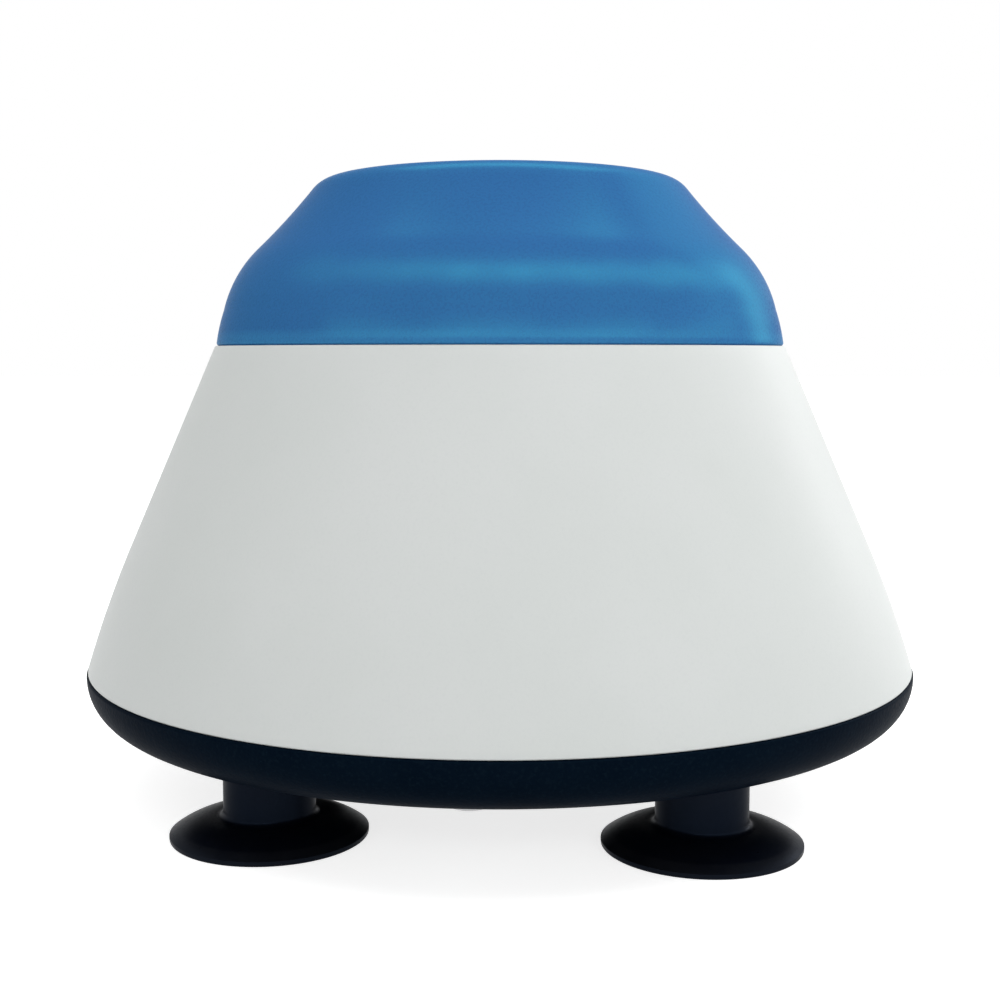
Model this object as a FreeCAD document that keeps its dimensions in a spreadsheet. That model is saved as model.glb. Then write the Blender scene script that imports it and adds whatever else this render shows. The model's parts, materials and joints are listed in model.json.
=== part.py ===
import FreeCAD, Part
import Sketcher
import math
import os
import re

from FreeCAD import Placement, Rotation, Vector

os.makedirs("parts", exist_ok=True)
doc = FreeCAD.newDocument("vortex_mixer")
sheet = doc.addObject("Spreadsheet::Sheet", "Sizes")

# Lengths in millimetres. Heights run up from the bench, radii out from the motor's axis.
SIZES = {
    # Suction feet
    "foot_clearance": 10.2,
    "foot_pitch": 33.8,
    "sucker_radius": 11.0,
    "sucker_rim_width": 1.3,
    "sucker_rim_height": 0.6,
    "sucker_height": 2.5,
    "sucker_dome_bow": 9.0,
    "sucker_hollow": 1.3,
    "stem_radius": 5.1,
    "neck_radius": 3.0,
    "foot_head_overhang": 1.6,
    "foot_head_height": 1.0,
    "foot_tip_radius": 2.2,
    "foot_tip_height": 1.6,
    # Base tray and ballast
    "base_radius": 50.0,
    "band_height": 6.0,
    "band_round": 5.6,
    "floor_thickness": 2.5,
    "lip_height": 3.0,
    "lip_wall": 2.0,
    "board_pad_inner": 8.3,
    "board_pad_outer": 10.7,
    "board_pad_height": 0.7,
    "ballast_outer": 28.0,
    "ballast_inner": 14.0,
    "ballast_height": 7.0,
    "ballast_edge": 0.8,
    # White shell
    "shell_foot_inset": 0.1,
    "shell_knee_radius": 44.6,
    "shell_knee_height": 14.5,
    "shell_bow": 131.0,
    "shell_height": 38.0,
    "junction_radius": 34.4,
    "shell_wall": 2.6,
    "boss_radius": 3.4,
    "boss_gap": 1.3,
    "boss_bite": 2.0,
    "boss_bore_depth": 14.0,
    # Blue top cover
    "cover_lip_inset": 0.1,
    "cover_height": 19.9,
    "cover_shoulder_start_inset": 1.0,
    "cover_shoulder_start": 4.2,
    "cover_shoulder_bow": 14.8,
    "cover_slope_foot_inset": 5.1,
    "cover_slope_foot": 11.4,
    "cover_slope_bow": 79.0,
    "cover_slope_top_inset": 11.6,
    "cover_edge_drop": 1.4,
    "cover_edge_width": 2.8,
    "cover_edge_bow": 3.72,
    "cover_top_wall": 2.6,
    "cover_side_wall": 2.2,
    "opening_round": 0.8,
    "spigot_depth": 3.5,
    "spigot_wall": 1.85,
    "cup_swing_gap": 0.75,
    # Power inlet at the back
    "jack_height": 28.0,
    "jack_sink": 1.55,
    "jack_wall": 2.5,
    "jack_pad_radius": 7.8,
    "jack_recess_radius": 6.2,
    "jack_radius": 4.0,
    "jack_depth": 12.0,
    "jack_flange_radius": 5.7,
    "jack_flange_thickness": 1.4,
    "jack_socket_radius": 2.85,
    "jack_back_wall": 3.5,
    "jack_pin_radius": 1.05,
    "jack_pin_tail": 3.0,
    "jack_pin_setback": 1.6,
    "jack_nut_corner": 6.2,
    "jack_nut_thickness": 2.5,
    # Touch switch
    "board_radius": 12.0,
    "board_thickness": 1.2,
    "board_screw_pitch": 9.5,
    "board_screw_radius": 0.8,
    "board_screw_length": 3.4,
    "switch_radius": 4.5,
    "switch_height": 3.8,
    "switch_floor": 0.5,
    "switch_roof": 0.8,
    "plunger_radius": 1.7,
    "plunger_collar_radius": 2.3,
    "plunger_collar_height": 0.7,
    "plunger_free_play": 0.1,
    # Guide posts and springs
    "post_pitch": 21.0,
    "post_radius": 4.0,
    "post_shoulder_height": 18.3,
    "rod_radius": 2.0,
    "rod_tip_length": 2.4,
    "rod_tip_chamfer": 0.4,
    "post_bore_depth": 8.0,
    "spring_mean_radius": 3.1,
    "spring_wire_radius": 0.45,
    "spring_turns": 5.5,
    "spring_end_gap": 0.05,
    "clip_thickness": 0.8,
    "clip_groove_depth": 0.5,
    "clip_radius": 3.6,
    "clip_play": 0.2,
    # Motor on its cradle plate
    "press_room": 2.0,
    "motor_radius": 13.85,
    "motor_can_wall": 1.0,
    "motor_can_length": 27.3,
    "motor_can_round": 1.2,
    "motor_nose_radius": 5.0,
    "motor_nose_height": 2.0,
    "motor_bush_radius": 3.0,
    "motor_bush_inset": 1.0,
    "motor_tail_radius": 4.5,
    "motor_tail_height": 1.3,
    "motor_cap_flange": 1.0,
    "motor_cap_plug": 2.0,
    "shaft_radius": 1.15,
    "shaft_tail_gap": 0.3,
    "shaft_tail_wall": 1.0,
    "magnet_inner": 10.3,
    "magnet_length": 19.0,
    "magnet_lift": 5.5,
    "armature_radius": 9.6,
    "armature_length": 15.0,
    "armature_lift": 7.5,
    "winding_radius": 8.0,
    "winding_length": 2.0,
    "slot_radius": 1.1,
    "slot_pitch": 8.9,
    "commutator_radius": 3.6,
    "commutator_length": 3.0,
    "terminal_pitch": 9.5,
    "terminal_width": 2.4,
    "terminal_thickness": 0.5,
    "terminal_length": 2.6,
    "plate_radius": 26.0,
    "plate_thickness": 2.4,
    "bush_radius": 3.5,
    "bush_flange_radius": 4.4,
    "bush_flange_thickness": 0.8,
    "bush_stand": 0.6,
    "motor_screw_pitch": 8.0,
    "motor_screw_radius": 1.25,
    "motor_screw_length": 4.6,
    "motor_screw_head_radius": 2.2,
    "motor_screw_head_height": 1.1,
    # Orbit drive
    "orbit": 2.25,
    "hub_gap": 1.5,
    "hub_radius": 6.0,
    "hub_height": 5.1,
    "hub_roof": 1.0,
    "set_screw_radius": 1.0,
    "set_screw_height": 2.1,
    "set_screw_sink": 0.5,
    "weight_radius": 12.5,
    "weight_height": 4.4,
    "weight_lift": 0.3,
    "journal_radius": 2.0,
    "journal_shoulder_radius": 2.6,
    "journal_shoulder_height": 0.8,
    "journal_tip": 0.8,
    "journal_clip_thickness": 0.6,
    "journal_clip_depth": 0.4,
    "journal_clip_radius": 3.0,
    "bearing_width": 4.0,
    "bearing_radius": 5.0,
    "ball_pitch": 3.5,
    "ball_radius": 0.9,
    "race_play": 0.05,
    "race_land_gap": 0.6,
    "peg_pitch": 15.5,
    "peg_radius": 1.5,
    "peg_height": 10.2,
    "peg_collar_radius": 2.4,
    "peg_collar_height": 0.8,
    "peg_tip_chamfer": 0.3,
    "eye_play": 0.3,
    "eye_wall": 1.2,
    "eye_depth": 3.4,
    "carrier_gap": 0.6,
    "carrier_boss_radius": 7.5,
    "carrier_boss_stand": 2.6,
    "carrier_flange_radius": 21.0,
    "carrier_flange_thickness": 1.4,
    "carrier_roof": 1.4,
    "carrier_ring_land": 0.8,
    # Rubber tube cup
    "cup_radius": 12.5,
    "cup_foot_radius": 10.2,
    "cup_height": 8.9,
    "cup_flank_height": 3.9,
    "cup_edge": 0.6,
    "cup_rim_width": 0.7,
    "dish_floor_radius": 2.6,
    "dish_floor_rise": 0.5,
    "dish_floor_bow": 7.0,
    "dish_web": 1.4,
    # Fasteners under the tray
    "base_screw_radius": 1.3,
    "base_screw_grip": 9.5,
    "base_screw_head_radius": 2.8,
    "post_screw_radius": 1.25,
    "post_screw_grip": 7.0,
    "post_screw_head_radius": 2.6,
    "screw_head_height": 1.6,
    # Clearances
    "fit_gap": 0.1,
    "slide_gap": 0.05,
    "running_gap": 0.05,
    "screw_gap": 0.15,
    "lip_gap": 0.2,
    "touch_gap": 0.3,
}

# Levels and radii that follow from the sizes above.
DERIVED = {
    "tray_floor": "foot_clearance + floor_thickness",
    "tray_top": "foot_clearance + band_height",
    "board_seat": "tray_floor + board_pad_height",
    "board_top": "board_seat + board_thickness",
    "switch_top": "board_top + switch_height",
    "switch_ceiling": "switch_top - switch_roof",
    "collar_top": "switch_ceiling - plunger_free_play",
    "motor_bottom": "switch_top + press_room",
    "plunger_top": "motor_bottom - touch_gap",
    "cap_bottom": "motor_bottom + motor_tail_height",
    "can_bottom": "cap_bottom + motor_cap_flange",
    "can_top": "can_bottom + motor_can_length",
    "can_inner": "motor_radius - motor_can_wall",
    "nose_top": "can_top + motor_nose_height",
    "shaft_bore": "shaft_radius + running_gap",
    "shaft_bottom": "motor_bottom + shaft_tail_wall + shaft_tail_gap",
    "plug_top": "can_bottom + motor_cap_plug",
    "plate_top": "can_top + plate_thickness",
    "bush_top": "plate_top + bush_stand",
    "bush_bottom": "can_top - bush_flange_thickness",
    "clip_bottom": "bush_top + clip_play",
    "clip_top": "clip_bottom + clip_thickness",
    "clip_groove_radius": "rod_radius - clip_groove_depth",
    "rod_top": "clip_top + rod_tip_length",
    "ballast_top": "tray_floor + ballast_height",
    "post_shoulder": "ballast_top + post_shoulder_height",
    "shell_foot_radius": "base_radius - shell_foot_inset",
    "shell_knee": "tray_top + shell_knee_height",
    "junction": "tray_top + shell_height",
    "shell_top_inner": "junction_radius - shell_wall",
    "lip_radius": "shell_foot_radius - shell_wall - lip_gap"
                  " - lip_height * (shell_foot_radius - shell_knee_radius) / shell_knee_height",
    "boss_pitch": "lip_radius - lip_wall - boss_gap - boss_radius",
    "boss_reach": "boss_pitch + boss_radius - boss_bite",
    "boss_top_on_cone": "junction - (boss_reach - shell_top_inner)"
                        " * (junction - shell_knee) / (shell_knee_radius - junction_radius)",
    "boss_top_on_skirt": "tray_top + (shell_foot_radius - shell_wall - boss_reach)"
                         " * shell_knee_height / (shell_foot_radius - shell_knee_radius)",
    "boss_top": "boss_top_on_cone > shell_knee ? boss_top_on_cone : boss_top_on_skirt",
    "foot_head_radius": "neck_radius + foot_head_overhang",
    "sucker_bed": "sucker_radius - sucker_rim_width",
    "cover_lip_radius": "junction_radius - cover_lip_inset",
    "cover_top": "junction + cover_height",
    "cover_slope_top": "cover_height - cover_edge_drop",
    "cover_flat_radius": "cover_lip_radius - cover_slope_top_inset - cover_edge_width",
    "spigot_radius": "shell_top_inner - fit_gap",
    "spigot_bore": "spigot_radius - spigot_wall",
    "opening_radius": "cup_radius + orbit + cup_swing_gap",
    "hub_bottom": "plate_top + hub_gap",
    "hub_top": "hub_bottom + hub_height",
    "weight_bottom": "hub_bottom + weight_lift",
    "bearing_bottom": "hub_top + journal_shoulder_height",
    "bearing_top": "bearing_bottom + bearing_width",
    "bearing_middle": "bearing_bottom + bearing_width / 2",
    "journal_clip_top": "bearing_top + journal_clip_thickness",
    "journal_top": "journal_clip_top + journal_tip",
    "race_radius": "ball_radius + race_play",
    "race_reach": "sqrt(race_radius ^ 2 - race_land_gap ^ 2)",
    "inner_land": "ball_pitch - race_land_gap",
    "outer_land": "ball_pitch + race_land_gap",
    "peg_top": "plate_top + peg_height",
    "eye_radius": "peg_radius + orbit + eye_play",
    "eye_top": "peg_top + carrier_gap",
    "eye_bottom": "eye_top - eye_depth",
    "flange_top": "eye_top + carrier_flange_thickness",
    "carrier_bottom": "hub_top + carrier_gap",
    "carrier_top": "flange_top + carrier_boss_stand",
    "ring_land_radius": "bearing_radius - carrier_ring_land",
    "cup_top": "flange_top + cup_height",
    "dish_bottom": "carrier_top + dish_web",
    "jack_brow": "shell_knee_radius - (jack_height + jack_recess_radius - shell_knee)"
                 " * (shell_knee_radius - junction_radius) / (junction - shell_knee)",
    "jack_seat": "jack_brow - jack_sink",
    "jack_back": "jack_seat - jack_depth",
    "jack_pad_face": "jack_seat - jack_wall",
}

FOOT_ANGLES = (45, 135, 225, 315)
POST_ANGLES = (30, 150, 270)
PEG_ANGLES = (90, 210, 330)
BASE_SCREW_ANGLES = (0, 180, 270)
PAIR_ANGLES = (0, 180)
TERMINAL_ANGLES = (90, 270)
BALL_COUNT = 7
SLOT_COUNT = 5
MAGNET_SWEEP = 150
CLIP_SWEEP = 300
WEIGHT_SWEEP = 170
FULL_TURN = 360

NAME = re.compile(r"[a-z][a-z0-9_]*")

for row, (alias, size) in enumerate(SIZES.items(), 1):
    sheet.set(f"A{row}", alias)
    sheet.set(f"B{row}", str(size))
    sheet.setAlias(f"B{row}", alias)
doc.recompute()


def bound(text):
    def swap(match):
        name = match.group(0)
        if name in SIZES:
            return "Sizes." + name
        if name in DERIVED:
            return "(" + bound(DERIVED[name]) + ")"
        return name

    return NAME.sub(swap, text)


def number(text):
    return float(sheet.evalExpression(bound(text)))


def polar(pitch, angle):
    return f"{pitch} * cos({angle})", f"{pitch} * sin({angle})"


def place(piece, x="0", y="0", z="0"):
    for axis, text in (("x", x), ("y", y), ("z", z)):
        if text != "0":
            piece.setExpression("Placement.Base." + axis, bound(text))


def origin_part(body, role):
    return next(feature for feature in body.Origin.OriginFeatures if feature.Role == role)


def new_body(label):
    return doc.addObject("PartDesign::Body", label)


def new_sketch(body, role, lift="0"):
    sketch = body.newObject("Sketcher::SketchObject", body.Name + "_sketch")
    sketch.AttachmentSupport = [(origin_part(body, role), "")]
    sketch.MapMode = "FlatFace"
    if lift != "0":
        sketch.setExpression("AttachmentOffset.Base.z", bound(lift))
    return sketch


def pin_point(sketch, edge, end, spot, tag):
    # Ties one point of the sketch to its two distances from the origin.
    for kind, axis_line, text in (("DistanceX", -2, spot[0]), ("DistanceY", -1, spot[1])):
        size = number(text)
        if abs(size) < 1e-9:
            sketch.addConstraint(Sketcher.Constraint("PointOnObject", edge, end, axis_line))
            continue
        if size > 0:
            rule = Sketcher.Constraint(kind, -1, 1, edge, end, size)
        else:
            rule = Sketcher.Constraint(kind, edge, end, -1, 1, -size)
            text = f"-({text})"
        name = f"{kind}_{tag}"
        sketch.renameConstraint(sketch.addConstraint(rule), name)
        sketch.setExpression("Constraints." + name, bound(text))


def arc_edge(start, end, radius, turn):
    # The short arc from start to end that turns left or right on the way.
    chord = end - start
    side = Vector(-chord.y, chord.x, 0).normalize()
    if turn == "right":
        side = -side
    centre = start + chord * 0.5 + side * math.sqrt(radius ** 2 - (chord.Length / 2) ** 2)
    circle = Part.Circle(centre, Vector(0, 0, 1), radius)
    first, last = (start, end) if turn == "left" else (end, start)
    return Part.ArcOfCircle(circle, circle.parameter(first), circle.parameter(last))


def draw_outline(sketch, corners):
    # Each corner is (across, up), with (radius, turn) added where an arc leads to the next one.
    spots = [Vector(number(corner[0]), number(corner[1]), 0) for corner in corners]
    count = len(corners)
    edges = []
    for index, corner in enumerate(corners):
        start = spots[index]
        end = spots[(index + 1) % count]
        if len(corner) == 2:
            edges.append((sketch.addGeometry(Part.LineSegment(start, end), False), 1, 2))
            continue
        arc = sketch.addGeometry(arc_edge(start, end, number(corner[2]), corner[3]), False)
        edges.append((arc, 1, 2) if corner[3] == "left" else (arc, 2, 1))
    for index, (edge, _, tail) in enumerate(edges):
        following, head, _ = edges[(index + 1) % count]
        sketch.addConstraint(Sketcher.Constraint("Coincident", edge, tail, following, head))
    for index, corner in enumerate(corners):
        edge, head, _ = edges[index]
        pin_point(sketch, edge, head, corner, index)
        if len(corner) == 4:
            name = f"Radius_{index}"
            rule = Sketcher.Constraint("Radius", edge, number(corner[2]))
            sketch.renameConstraint(sketch.addConstraint(rule), name)
            sketch.setExpression("Constraints." + name, bound(corner[2]))


def draw_circles(sketch, spots, radius):
    for index, spot in enumerate(spots):
        centre = Vector(number(spot[0]), number(spot[1]), 0)
        edge = sketch.addGeometry(Part.Circle(centre, Vector(0, 0, 1), number(radius)), False)
        pin_point(sketch, edge, 3, spot, index)
        name = f"Radius_{index}"
        rule = Sketcher.Constraint("Radius", edge, number(radius))
        sketch.renameConstraint(sketch.addConstraint(rule), name)
        sketch.setExpression("Constraints." + name, bound(radius))


def revolve(body, corners, sweep=FULL_TURN, kind="Revolution"):
    sketch = new_sketch(body, "XZ_Plane")
    draw_outline(sketch, corners)
    feature = body.newObject("PartDesign::" + kind, f"{body.Name}_{kind.lower()}")
    feature.Profile = sketch
    feature.ReferenceAxis = (sketch, ["V_Axis"])
    feature.Angle = sweep
    feature.Midplane = sweep != FULL_TURN
    body.Tip = feature
    return feature


def extrude(body, kind, spots, radius, lift, length, role="XY_Plane", flip=False):
    # Round pads or pockets on one sketch. A pocket runs against the sketch's normal unless flipped.
    sketch = new_sketch(body, role, lift)
    draw_circles(sketch, spots, radius)
    feature = body.newObject("PartDesign::" + kind, f"{body.Name}_{kind.lower()}")
    feature.Profile = sketch
    feature.setExpression("Length", bound(length))
    feature.Reversed = flip
    body.Tip = feature
    return feature


def turned(label, corners, sweep=FULL_TURN):
    body = new_body(label)
    revolve(body, corners, sweep)
    return body


def group(label, pieces):
    compound = doc.addObject("Part::Compound", label)
    compound.Links = pieces
    return compound


def ring_of(pitch, angles):
    return [polar(pitch, angle) for angle in angles]


nodes = []


def keep(piece):
    nodes.append(piece)
    return piece


# Suction feet: a hollow sucker on a stout stem, pulled through the tray by its head.
foot_outline = [
    ("0", "sucker_hollow", "(sucker_bed ^ 2 + sucker_hollow ^ 2) / (2 * sucker_hollow)", "right"),
    ("sucker_bed", "0"),
    ("sucker_radius", "0"),
    ("sucker_radius", "sucker_rim_height", "sucker_dome_bow", "left"),
    ("stem_radius", "sucker_height"),
    ("stem_radius", "foot_clearance"),
    ("neck_radius", "foot_clearance"),
    ("neck_radius", "tray_floor"),
    ("foot_head_radius", "tray_floor"),
    ("foot_head_radius", "tray_floor + foot_head_height"),
    ("foot_tip_radius", "tray_floor + foot_head_height + foot_tip_height"),
    ("0", "tray_floor + foot_head_height + foot_tip_height"),
]
for index, angle in enumerate(FOOT_ANGLES, 1):
    foot = keep(turned(f"suction_foot_{index}", foot_outline))
    place(foot, *polar("foot_pitch", angle))

# Base tray: the black band under the shell, with the lip that centres the shell.
base_tray = keep(turned("base_tray", [
    ("0", "foot_clearance"),
    ("base_radius - band_round", "foot_clearance", "band_round", "left"),
    ("base_radius", "foot_clearance + band_round"),
    ("base_radius", "tray_top"),
    ("lip_radius", "tray_top"),
    ("lip_radius", "tray_top + lip_height"),
    ("lip_radius - lip_wall", "tray_top + lip_height"),
    ("lip_radius - lip_wall", "tray_floor"),
    ("board_pad_outer", "tray_floor"),
    ("board_pad_outer", "board_seat"),
    ("board_pad_inner", "board_seat"),
    ("board_pad_inner", "tray_floor"),
    ("0", "tray_floor"),
]))
tray_holes = (
    (ring_of("foot_pitch", FOOT_ANGLES), "neck_radius + fit_gap"),
    (ring_of("post_pitch", POST_ANGLES), "post_screw_radius + screw_gap"),
    (ring_of("boss_pitch", BASE_SCREW_ANGLES), "base_screw_radius + screw_gap"),
)
for spots, radius in tray_holes:
    extrude(base_tray, "Pocket", spots, radius, "tray_floor", "floor_thickness")
extrude(base_tray, "Pocket", ring_of("board_screw_pitch", PAIR_ANGLES), "board_screw_radius",
        "board_seat", "board_screw_length - board_thickness")

ballast_ring = keep(turned("ballast_ring", [
    ("ballast_inner", "tray_floor"),
    ("ballast_outer", "tray_floor"),
    ("ballast_outer", "ballast_top - ballast_edge"),
    ("ballast_outer - ballast_edge", "ballast_top"),
    ("ballast_inner", "ballast_top"),
]))
extrude(ballast_ring, "Pocket", ring_of("post_pitch", POST_ANGLES),
        "post_screw_radius + screw_gap", "ballast_top", "ballast_height")

# White shell: a straight cone that bends towards upright at the band. The screw bosses and the
# pad for the inlet run out through the wall and are trimmed to its outer face.
housing_shell = keep(turned("housing_shell", [
    ("shell_foot_radius - shell_wall", "tray_top"),
    ("shell_foot_radius", "tray_top", "shell_bow", "left"),
    ("shell_knee_radius", "shell_knee"),
    ("junction_radius", "junction"),
    ("shell_top_inner", "junction"),
    ("shell_knee_radius - shell_wall", "shell_knee", "shell_bow", "right"),
]))
extrude(housing_shell, "Pad", ring_of("boss_pitch", BASE_SCREW_ANGLES), "boss_radius",
        "tray_floor", "boss_top - tray_floor")
extrude(housing_shell, "Pad", [("0", "jack_height")], "jack_pad_radius", "-(jack_pad_face)",
        "base_radius - jack_pad_face", "XZ_Plane", True)
revolve(housing_shell, [
    ("shell_foot_radius", "tray_top"),
    ("shell_foot_radius + base_radius", "tray_top"),
    ("shell_foot_radius + base_radius", "junction"),
    ("junction_radius", "junction"),
    ("shell_knee_radius", "shell_knee", "shell_bow", "right"),
], kind="Groove")
extrude(housing_shell, "Pocket", ring_of("boss_pitch", BASE_SCREW_ANGLES), "base_screw_radius",
        "tray_floor", "boss_bore_depth", flip=True)
extrude(housing_shell, "Pocket", [("0", "jack_height")], "jack_recess_radius", "-(jack_seat)",
        "base_radius", "XZ_Plane")
extrude(housing_shell, "Pocket", [("0", "jack_height")], "jack_radius + fit_gap",
        "-(jack_pad_face)", "base_radius", "XZ_Plane")

# Blue top cover: a domed shoulder, a slightly hollow slope and a rounded edge about the opening.
top_cover = keep(turned("top_cover", [
    ("cover_lip_radius", "junction"),
    ("cover_lip_radius - cover_shoulder_start_inset", "junction + cover_shoulder_start",
     "cover_shoulder_bow", "left"),
    ("cover_lip_radius - cover_slope_foot_inset", "junction + cover_slope_foot",
     "cover_slope_bow", "right"),
    ("cover_lip_radius - cover_slope_top_inset", "junction + cover_slope_top",
     "cover_edge_bow", "left"),
    ("cover_flat_radius", "cover_top"),
    ("opening_radius + opening_round", "cover_top", "opening_round", "left"),
    ("opening_radius", "cover_top - opening_round"),
    ("opening_radius", "cover_top - cover_top_wall"),
    ("cover_lip_radius - cover_slope_top_inset - cover_side_wall", "cover_top - cover_top_wall"),
    ("cover_lip_radius - cover_slope_foot_inset - cover_side_wall",
     "junction + cover_slope_foot - cover_side_wall"),
    ("spigot_bore", "junction + cover_shoulder_start"),
    ("spigot_bore", "junction - spigot_depth"),
    ("spigot_radius", "junction - spigot_depth"),
    ("spigot_radius", "junction"),
]))

# Power inlet: a barrel socket clamped on the pad in the shell's back.
TOWARDS_BACK = Rotation(Vector(1, 0, 0), -90)
dc_jack = keep(turned("dc_jack", [
    ("jack_pin_radius", "0"),
    ("jack_radius", "0"),
    ("jack_radius", "jack_depth"),
    ("jack_flange_radius", "jack_depth"),
    ("jack_flange_radius", "jack_depth + jack_flange_thickness"),
    ("jack_socket_radius", "jack_depth + jack_flange_thickness"),
    ("jack_socket_radius", "jack_back_wall"),
    ("jack_pin_radius", "jack_back_wall"),
]))
dc_jack.Placement = Placement(Vector(), TOWARDS_BACK)
place(dc_jack, y="jack_back", z="jack_height")

jack_pin = keep(turned("jack_pin", [
    ("0", "0"),
    ("jack_pin_radius", "0"),
    ("jack_pin_radius", "jack_pin_tail + jack_depth - jack_pin_setback"),
    ("0", "jack_pin_tail + jack_depth - jack_pin_setback + jack_pin_radius"),
]))
jack_pin.Placement = Placement(Vector(), TOWARDS_BACK)
place(jack_pin, y="jack_back - jack_pin_tail", z="jack_height")

nut_blank = doc.addObject("Part::Prism", "jack_nut_blank")
nut_blank.Polygon = 6
nut_blank.setExpression("Circumradius", bound("jack_nut_corner"))
nut_blank.setExpression("Height", bound("jack_nut_thickness"))
nut_bore = doc.addObject("Part::Cylinder", "jack_nut_bore")
nut_bore.setExpression("Radius", bound("jack_radius"))
nut_bore.setExpression("Height", bound("jack_nut_thickness"))
jack_nut = keep(doc.addObject("Part::Cut", "jack_nut"))
jack_nut.Base = nut_blank
jack_nut.Tool = nut_bore
jack_nut.Placement = Placement(Vector(), TOWARDS_BACK)
place(jack_nut, y="jack_pad_face - jack_nut_thickness", z="jack_height")

# Touch switch under the motor: pressing the cup lowers the motor on to the plunger.
circuit_board = keep(turned("circuit_board", [
    ("0", "board_seat"),
    ("board_radius", "board_seat"),
    ("board_radius", "board_top"),
    ("0", "board_top"),
]))
extrude(circuit_board, "Pocket", ring_of("board_screw_pitch", PAIR_ANGLES), "board_screw_radius",
        "board_top", "board_thickness")
board_screws = []
for index, angle in enumerate(PAIR_ANGLES, 1):
    screw = turned(f"board_screw_{index}", [
        ("0", "board_top - board_screw_length"),
        ("board_screw_radius", "board_top - board_screw_length"),
        ("board_screw_radius", "board_top"),
        ("2 * board_screw_radius", "board_top"),
        ("2 * board_screw_radius", "board_top + board_screw_radius"),
        ("0", "board_top + board_screw_radius"),
    ])
    place(screw, *polar("board_screw_pitch", angle))
    board_screws.append(screw)
keep(group("board_screws", board_screws))

switch_body = keep(turned("switch_body", [
    ("0", "board_top"),
    ("switch_radius", "board_top"),
    ("switch_radius", "switch_top"),
    ("plunger_radius + fit_gap", "switch_top"),
    ("plunger_radius + fit_gap", "switch_ceiling"),
    ("plunger_collar_radius + 2 * fit_gap", "switch_ceiling"),
    ("plunger_collar_radius + 2 * fit_gap", "board_top + switch_floor"),
    ("0", "board_top + switch_floor"),
]))
switch_plunger = keep(turned("switch_plunger", [
    ("0", "collar_top - plunger_collar_height"),
    ("plunger_collar_radius", "collar_top - plunger_collar_height"),
    ("plunger_collar_radius", "collar_top"),
    ("plunger_radius", "collar_top"),
    ("plunger_radius", "plunger_top"),
    ("0", "plunger_top"),
]))

# Guide posts, each with its return spring and the clip that stops the cradle at the top.
post_outline = [
    ("post_screw_radius", "ballast_top"),
    ("post_radius", "ballast_top"),
    ("post_radius", "post_shoulder"),
    ("rod_radius", "post_shoulder"),
    ("rod_radius", "clip_bottom"),
    ("clip_groove_radius", "clip_bottom"),
    ("clip_groove_radius", "clip_top"),
    ("rod_radius", "clip_top"),
    ("rod_radius", "rod_top - rod_tip_chamfer"),
    ("rod_radius - rod_tip_chamfer", "rod_top"),
    ("0", "rod_top"),
    ("0", "ballast_top + post_bore_depth"),
    ("post_screw_radius", "ballast_top + post_bore_depth"),
]
clip_outline = [
    ("clip_groove_radius", "clip_bottom"),
    ("clip_radius", "clip_bottom"),
    ("clip_radius", "clip_top"),
    ("clip_groove_radius", "clip_top"),
]
spring_lift = "post_shoulder + spring_end_gap + spring_wire_radius"
spring_height = "bush_bottom - post_shoulder - 2 * spring_end_gap - 2 * spring_wire_radius"
post_screw_outline = [
    ("0", "foot_clearance - screw_head_height"),
    ("post_screw_head_radius", "foot_clearance - screw_head_height"),
    ("post_screw_head_radius", "foot_clearance"),
    ("post_screw_radius", "foot_clearance"),
    ("post_screw_radius", "ballast_top + post_screw_grip"),
    ("0", "ballast_top + post_screw_grip"),
]
post_clips = []
post_screws = []
for index, angle in enumerate(POST_ANGLES, 1):
    spot = polar("post_pitch", angle)
    post = keep(turned(f"guide_post_{index}", post_outline))
    place(post, *spot)
    spring = keep(new_body(f"return_spring_{index}"))
    wire = new_sketch(spring, "XZ_Plane")
    draw_circles(wire, [("spring_mean_radius", spring_lift)], "spring_wire_radius")
    coil = spring.newObject("PartDesign::AdditiveHelix", f"spring_coil_{index}")
    coil.Profile = wire
    coil.ReferenceAxis = (wire, ["V_Axis"])
    coil.Mode = "height-turns-angle"
    coil.setExpression("Height", bound(spring_height))
    coil.setExpression("Turns", bound("spring_turns"))
    spring.Tip = coil
    place(spring, *spot)
    clip = turned(f"post_clip_{index}", clip_outline, CLIP_SWEEP)
    place(clip, *spot)
    post_clips.append(clip)
    screw = turned(f"post_screw_{index}", post_screw_outline)
    place(screw, *spot)
    post_screws.append(screw)
keep(group("post_clips", post_clips))
keep(group("post_screws", post_screws))

base_screws = []
for index, angle in enumerate(BASE_SCREW_ANGLES, 1):
    screw = turned(f"base_screw_{index}", [
        ("0", "foot_clearance - screw_head_height"),
        ("base_screw_head_radius", "foot_clearance - screw_head_height"),
        ("base_screw_head_radius", "foot_clearance"),
        ("base_screw_radius", "foot_clearance"),
        ("base_screw_radius", "tray_floor + base_screw_grip"),
        ("0", "tray_floor + base_screw_grip"),
    ])
    place(screw, *polar("boss_pitch", angle))
    base_screws.append(screw)
keep(group("base_screws", base_screws))

# Cradle plate: carries the motor and slides on the posts in three flanged bushes.
cradle_plate = keep(turned("cradle_plate", [
    ("motor_nose_radius + slide_gap", "can_top"),
    ("plate_radius", "can_top"),
    ("plate_radius", "plate_top"),
    ("motor_nose_radius + slide_gap", "plate_top"),
]))
plate_holes = (
    (ring_of("post_pitch", POST_ANGLES), "bush_radius"),
    (ring_of("peg_pitch", PEG_ANGLES), "peg_radius"),
    (ring_of("motor_screw_pitch", PAIR_ANGLES), "motor_screw_radius + screw_gap"),
)
for spots, radius in plate_holes:
    extrude(cradle_plate, "Pocket", spots, radius, "plate_top", "plate_thickness")

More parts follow.
